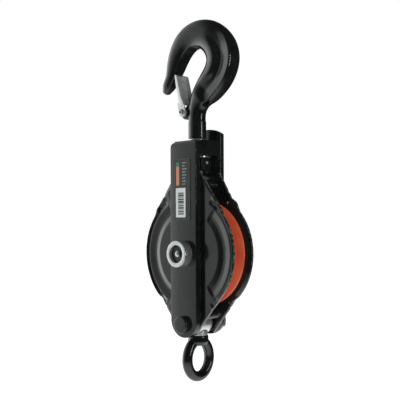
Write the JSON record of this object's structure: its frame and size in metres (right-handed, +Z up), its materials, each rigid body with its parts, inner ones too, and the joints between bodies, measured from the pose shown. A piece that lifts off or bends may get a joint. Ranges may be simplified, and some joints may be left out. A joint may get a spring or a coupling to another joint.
{
  "type": "single sheave block",
  "caption": "Single sheave lifting block with a swivel hook and safety latch, pressed cheeks between two straps, a grooved sheave and a becket eye on a lower pin.",
  "frame": {"origin": "the hook's seat, at the top of the inside of the hook, on the block's centre line, where the block hangs", "axes": "+Z up along the block, +Y along the sheave axle towards the rear strap, +X away from the hook's mouth"},
  "size_m": [0.14, 0.078, 0.425],
  "materials": {
    "black_paint": "gloss black enamel, worn at the edges",
    "eye_paint": "thick gloss black enamel over a forging",
    "orange_paint": "satin orange enamel",
    "zinc": "bright zinc plate",
    "latch_steel": "plated pressed sheet",
    "dark_steel": "turned, oiled",
    "bronze": "turned bearing bronze",
    "label_film": null
  },
  "bodies": {
    "hook": {"hook": "black_paint", "swivel_nut": "dark_steel", "swivel_cross_pin": "zinc", "upper_thrust_washer": "zinc", "lower_thrust_washer": "zinc", "latch_pin": "zinc"},
    "latch": {"latch": "latch_steel", "latch_spring": "zinc"},
    "frame": {"crosshead": "black_paint", "front_strap": "black_paint", "rear_strap": "black_paint", "front_cheek": "black_paint", "rear_cheek": "black_paint", "upper_left_spacer": "black_paint", "upper_right_spacer": "black_paint", "lower_left_spacer": "black_paint", "lower_right_spacer": "black_paint", "front_side_washer": "bronze", "rear_side_washer": "bronze", "axle_pin": "dark_steel", "front_axle_nut": "zinc", "rear_axle_nut": "zinc", "grease_nipple": "zinc", "lower_pin": "black_paint", "lower_pin_washer": "zinc", "lower_pin_nut": "zinc", "lower_split_pin": "zinc", "label": "label_film"},
    "sheave": {"sheave": "orange_paint", "sheave_bush": "bronze"},
    "becket": {"becket_hub": "zinc", "becket_eye": "eye_paint"}
  },
  "joints": [
    {"name": "hook_swivel", "type": "hinge", "parent": "hook", "child": "frame", "pos_m": [0, 0, -0.115], "axis": [0, 0, 1], "continuous": true},
    {"name": "latch_open", "type": "hinge", "parent": "hook", "child": "latch", "pos_m": [-0.0154, 0, -0.0713], "axis": [0, 1, 0], "range_deg": [0, 38], "stiffness_Nm_per_rad": 0.05, "springref_deg": -20.05},
    {"name": "sheave_spin", "type": "hinge", "parent": "frame", "child": "sheave", "pos_m": [0, 0, -0.238], "axis": [0, 1, 0], "continuous": true},
    {"name": "becket_swing", "type": "hinge", "parent": "frame", "child": "becket", "pos_m": [0, 0, -0.32], "axis": [0, 1, 0], "range_deg": [-60, 60]}
  ]
}
